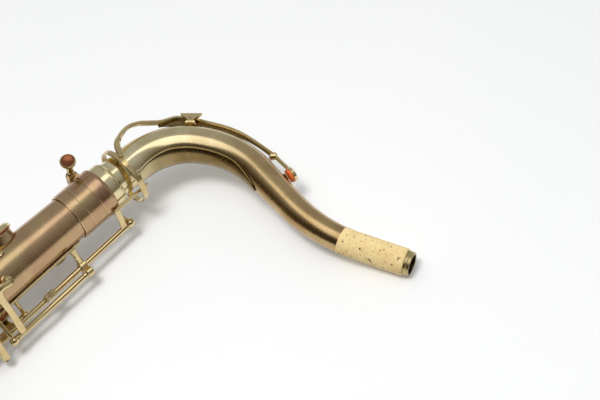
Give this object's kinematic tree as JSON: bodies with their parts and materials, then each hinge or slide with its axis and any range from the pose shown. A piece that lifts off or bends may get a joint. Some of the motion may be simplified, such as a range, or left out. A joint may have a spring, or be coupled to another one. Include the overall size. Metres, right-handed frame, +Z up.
{
  "type": "tenor saxophone",
  "caption": "Lacquered tenor saxophone lying on its side, with neck, corked tip, bell, bow and a full set of sprung keys on hinge rods.",
  "frame": {"origin": "middle of the footprint, on the surface that the instrument lies on", "axes": "+X along the body tube towards the neck, +Y towards the bell's side, +Z up, out of the instrument's left side"},
  "size_m": [0.8378, 0.391, 0.1549],
  "materials": {
    "body_lacquer": "satin antique lacquer, rose bronze with golden edges",
    "key_brass": "polished yellow brass",
    "cork": "sanded pale cork with dark flecks"
  },
  "bodies": {
    "horn": {"body_tube": "body_lacquer", "bow": "body_lacquer", "bell": "body_lacquer", "receiver": "body_lacquer", "upper_stack_rib": "key_brass", "lower_stack_rib": "key_brass", "octave_rib": "key_brass", "strap_ring": "key_brass", "thumb_hook": "key_brass", "thumb_rest": "key_brass", "bell_brace": "key_brass", "low_eb_guard": "key_brass", "low_c_guard": "key_brass", "low_b_guard": "key_brass", "low_bb_guard": "key_brass", "body_bow_ferrule": "body_lacquer", "bow_bell_ferrule": "body_lacquer"},
    "neck": {"neck_tube": "body_lacquer", "neck_tenon": "key_brass", "neck_cork": "cork", "neck_tip": "key_brass", "neck_brace": "key_brass", "neck_pip": "key_brass", "neck_saddle": "key_brass"},
    "receiver_screw": {"receiver_screw": "key_brass"},
    "neck_octave_key": {"neck_octave_key": "key_brass"},
    "octave_riser": {"octave_riser": "key_brass"},
    "body_octave_key": {"body_octave_key": "key_brass"},
    "octave_thumb_lever": {"octave_thumb_lever": "key_brass"},
    "low_cs_key": {"low_cs_key": "key_brass"},
    "low_b_key": {"low_b_key": "key_brass"},
    "low_b_lever": {"low_b_lever": "key_brass"},
    "low_bb_key": {"low_bb_key": "key_brass"},
    "low_bb_lever": {"low_bb_lever": "key_brass"},
    "low_eb_key": {"low_eb_key": "key_brass"},
    "low_c_key": {"low_c_key": "key_brass"},
    "c_key": {"c_key": "key_brass"},
    "b_key": {"b_key": "key_brass"},
    "bis_key": {"bis_key": "key_brass"},
    "a_key": {"a_key": "key_brass"},
    "g_key": {"g_key": "key_brass"},
    "fs_key": {"fs_key": "key_brass"},
    "f_key": {"f_key": "key_brass"},
    "e_key": {"e_key": "key_brass"},
    "d_key": {"d_key": "key_brass"},
    "side_bb_key": {"side_bb_key": "key_brass"},
    "side_c_key": {"side_c_key": "key_brass"},
    "side_e_key": {"side_e_key": "key_brass"},
    "high_fs_key": {"high_fs_key": "key_brass"},
    "palm_f_key": {"palm_f_key": "key_brass"},
    "palm_eb_key": {"palm_eb_key": "key_brass"},
    "palm_d_key": {"palm_d_key": "key_brass"},
    "gs_key": {"gs_key": "key_brass"}
  },
  "joints": [
    {"name": "neck_swivel", "type": "hinge", "parent": "horn", "child": "neck", "pos_m": [0.32358, -0.00414, 0.03785], "axis": [0.9997, 0, -0.0262], "range_deg": [-25, 25]},
    {"name": "receiver_screw_turn", "type": "hinge", "parent": "horn", "child": "receiver_screw", "pos_m": [0.31672, 0.0158, 0.04318], "axis": [0.0254, -0.25, 0.9679], "range_deg": [0, 90]},
    {"name": "neck_octave_key_hinge", "type": "hinge", "parent": "neck", "child": "neck_octave_key", "pos_m": [0.40106, -0.00904, 0.03105], "axis": [0.026, -0.1457, 0.989], "range_deg": [0, 2.6], "stiffness_Nm_per_rad": 0.1, "springref_deg": -22.92},
    {"name": "octave_riser_hinge", "type": "hinge", "parent": "horn", "child": "octave_riser", "pos_m": [0.20199, -0.02469, 0.01699], "axis": [0.9998, 0.0157, -0.0079], "range_deg": [0, 10.5], "stiffness_Nm_per_rad": 0.1, "springref_deg": -22.92},
    {"name": "body_octave_key_hinge", "type": "hinge", "parent": "horn", "child": "body_octave_key", "pos_m": [0.21898, -0.03128, 0.01659], "axis": [0.9998, 0.0181, -0.0103], "range_deg": [0, 8], "stiffness_Nm_per_rad": 0.1, "springref_deg": -22.92},
    {"name": "octave_thumb_lever_hinge", "type": "hinge", "parent": "horn", "child": "octave_thumb_lever", "pos_m": [0.07419, -0.03011, 0.06434], "axis": [0.999, 0.0191, -0.0409], "range_deg": [0, 3.5], "stiffness_Nm_per_rad": 0.1, "springref_deg": -22.92},
    {"name": "low_cs_key_hinge", "type": "hinge", "parent": "horn", "child": "low_cs_key", "pos_m": [-0.28652, 0.06181, 0.11843], "axis": [0.9997, 0, -0.0262], "range_deg": [0, 9], "stiffness_Nm_per_rad": 0.2, "springref_deg": -34.38},
    {"name": "low_b_key_hinge", "type": "hinge", "parent": "horn", "child": "low_b_key", "pos_m": [-0.19698, 0.08363, 0.02356], "axis": [0.9997, 0, -0.0262], "range_deg": [0, 9], "stiffness_Nm_per_rad": 0.2, "springref_deg": -34.38},
    {"name": "low_b_lever_hinge", "type": "hinge", "parent": "horn", "child": "low_b_lever", "pos_m": [-0.1216, -0.00129, 0.09595], "axis": [-0.9987, 0.0015, 0.0503], "range_deg": [0, 7.7], "stiffness_Nm_per_rad": 0.1, "springref_deg": -22.92},
    {"name": "low_bb_key_hinge", "type": "hinge", "parent": "horn", "child": "low_bb_key", "pos_m": [-0.14326, 0.09656, 0.01206], "axis": [0.9997, 0, -0.0262], "range_deg": [0, 9], "stiffness_Nm_per_rad": 0.2, "springref_deg": -34.38},
    {"name": "low_bb_lever_hinge", "type": "hinge", "parent": "horn", "child": "low_bb_lever", "pos_m": [-0.13888, -0.00126, 0.09682], "axis": [-0.9987, 0.0015, 0.0503], "range_deg": [0, 8.7], "stiffness_Nm_per_rad": 0.1, "springref_deg": -22.92},
    {"name": "low_eb_key_hinge", "type": "hinge", "parent": "horn", "child": "low_eb_key", "pos_m": [-0.37701, 0.04898, 0.0245], "axis": [0.9997, 0, -0.0262], "range_deg": [0, 10], "stiffness_Nm_per_rad": 0.2, "springref_deg": -34.38},
    {"name": "low_c_key_hinge", "type": "hinge", "parent": "horn", "child": "low_c_key", "pos_m": [-0.38497, 0.05842, 0.02612], "axis": [0.9997, 0, -0.0262], "range_deg": [0, 10], "stiffness_Nm_per_rad": 0.2, "springref_deg": -34.38},
    {"name": "c_key_hinge", "type": "hinge", "parent": "horn", "child": "c_key", "pos_m": [0.10688, 0.02918, 0.02762], "axis": [0.9996, -0.0218, -0.0158], "range_deg": [0, 9], "stiffness_Nm_per_rad": 0.1, "springref_deg": -22.92},
    {"name": "b_key_hinge", "type": "hinge", "parent": "horn", "child": "b_key", "pos_m": [0.06979, 0.02999, 0.02821], "axis": [0.9996, -0.0218, -0.0158], "range_deg": [0, 10], "stiffness_Nm_per_rad": 0.1, "springref_deg": -22.92},
    {"name": "bis_key_hinge", "type": "hinge", "parent": "horn", "child": "bis_key", "pos_m": [0.03189, 0.03082, 0.02881], "axis": [0.9996, -0.0218, -0.0158], "range_deg": [0, 8], "stiffness_Nm_per_rad": 0.1, "springref_deg": -22.92},
    {"name": "a_key_hinge", "type": "hinge", "parent": "horn", "child": "a_key", "pos_m": [-0.00646, 0.03165, 0.02942], "axis": [0.9996, -0.0218, -0.0158], "range_deg": [0, 10], "stiffness_Nm_per_rad": 0.1, "springref_deg": -22.92},
    {"name": "g_key_hinge", "type": "hinge", "parent": "horn", "child": "g_key", "pos_m": [-0.05175, 0.03264, 0.03013], "axis": [0.9996, -0.0218, -0.0158], "range_deg": [0, 10], "stiffness_Nm_per_rad": 0.1, "springref_deg": -22.92},
    {"name": "fs_key_hinge", "type": "hinge", "parent": "horn", "child": "fs_key", "pos_m": [-0.14548, 0.03739, 0.03033], "axis": [0.9996, -0.0218, -0.0158], "range_deg": [0, 10], "stiffness_Nm_per_rad": 0.1, "springref_deg": -22.92},
    {"name": "f_key_hinge", "type": "hinge", "parent": "horn", "child": "f_key", "pos_m": [-0.19398, 0.03844, 0.0311], "axis": [0.9996, -0.0218, -0.0158], "range_deg": [0, 10], "stiffness_Nm_per_rad": 0.1, "springref_deg": -22.92},
    {"name": "e_key_hinge", "type": "hinge", "parent": "horn", "child": "e_key", "pos_m": [-0.24547, 0.03957, 0.03191], "axis": [0.9996, -0.0218, -0.0158], "range_deg": [0, 10], "stiffness_Nm_per_rad": 0.1, "springref_deg": -22.92},
    {"name": "d_key_hinge", "type": "hinge", "parent": "horn", "child": "d_key", "pos_m": [-0.28377, 0.0404, 0.03252], "axis": [0.9996, -0.0218, -0.0158], "range_deg": [0, 10], "stiffness_Nm_per_rad": 0.1, "springref_deg": -22.92},
    {"name": "side_bb_key_hinge", "type": "hinge", "parent": "horn", "child": "side_bb_key", "pos_m": [-0.08029, -0.00784, 0.01018], "axis": [-1, -0.0023, 0.0022], "range_deg": [0, 10], "stiffness_Nm_per_rad": 0.1, "springref_deg": -22.92},
    {"name": "side_c_key_hinge", "type": "hinge", "parent": "horn", "child": "side_c_key", "pos_m": [-0.04825, -0.01422, 0.01131], "axis": [-1, -0.0065, 0.003], "range_deg": [0, 10], "stiffness_Nm_per_rad": 0.1, "springref_deg": -22.92},
    {"name": "side_e_key_hinge", "type": "hinge", "parent": "horn", "child": "side_e_key", "pos_m": [-0.01616, -0.02119, 0.01404], "axis": [-0.9999, -0.0111, 0.0048], "range_deg": [0, 10], "stiffness_Nm_per_rad": 0.1, "springref_deg": -22.92},
    {"name": "high_fs_key_hinge", "type": "hinge", "parent": "horn", "child": "high_fs_key", "pos_m": [-0.09813, 0.02369, 0.0163], "axis": [0.9998, -0.0157, -0.0079], "range_deg": [0, 10], "stiffness_Nm_per_rad": 0.1, "springref_deg": -22.92},
    {"name": "palm_f_key_hinge", "type": "hinge", "parent": "horn", "child": "palm_f_key", "pos_m": [0.19942, -0.00119, 0.0717], "axis": [0.9987, -0.0023, -0.0502], "range_deg": [0, 9], "stiffness_Nm_per_rad": 0.1, "springref_deg": -22.92},
    {"name": "palm_eb_key_hinge", "type": "hinge", "parent": "horn", "child": "palm_eb_key", "pos_m": [0.16349, -0.00669, 0.07456], "axis": [0.9987, 0.0019, -0.0503], "range_deg": [0, 10], "stiffness_Nm_per_rad": 0.1, "springref_deg": -22.92},
    {"name": "palm_d_key_hinge", "type": "hinge", "parent": "horn", "child": "palm_d_key", "pos_m": [0.12347, 0.00457, 0.07448], "axis": [0.9988, -0.0065, -0.0495], "range_deg": [0, 10], "stiffness_Nm_per_rad": 0.1, "springref_deg": -22.92},
    {"name": "gs_key_hinge", "type": "hinge", "parent": "horn", "child": "gs_key", "pos_m": [-0.10031, 0.01077, 0.08585], "axis": [0.9988, -0.009, -0.0486], "range_deg": [0, 11], "stiffness_Nm_per_rad": 0.1, "springref_deg": -22.92}
  ],
  "couplings": [
    {"joint": "octave_riser_hinge", "follows": "octave_thumb_lever_hinge", "ratio": 3},
    {"joint": "neck_octave_key_hinge", "follows": "octave_thumb_lever_hinge", "ratio": 0.7428},
    {"joint": "low_b_key_hinge", "follows": "low_b_lever_hinge", "ratio": 1.1688},
    {"joint": "low_bb_key_hinge", "follows": "low_bb_lever_hinge", "ratio": 1.0344},
    {"joint": "fs_key_hinge", "follows": "f_key_hinge", "ratio": 1}
  ]
}
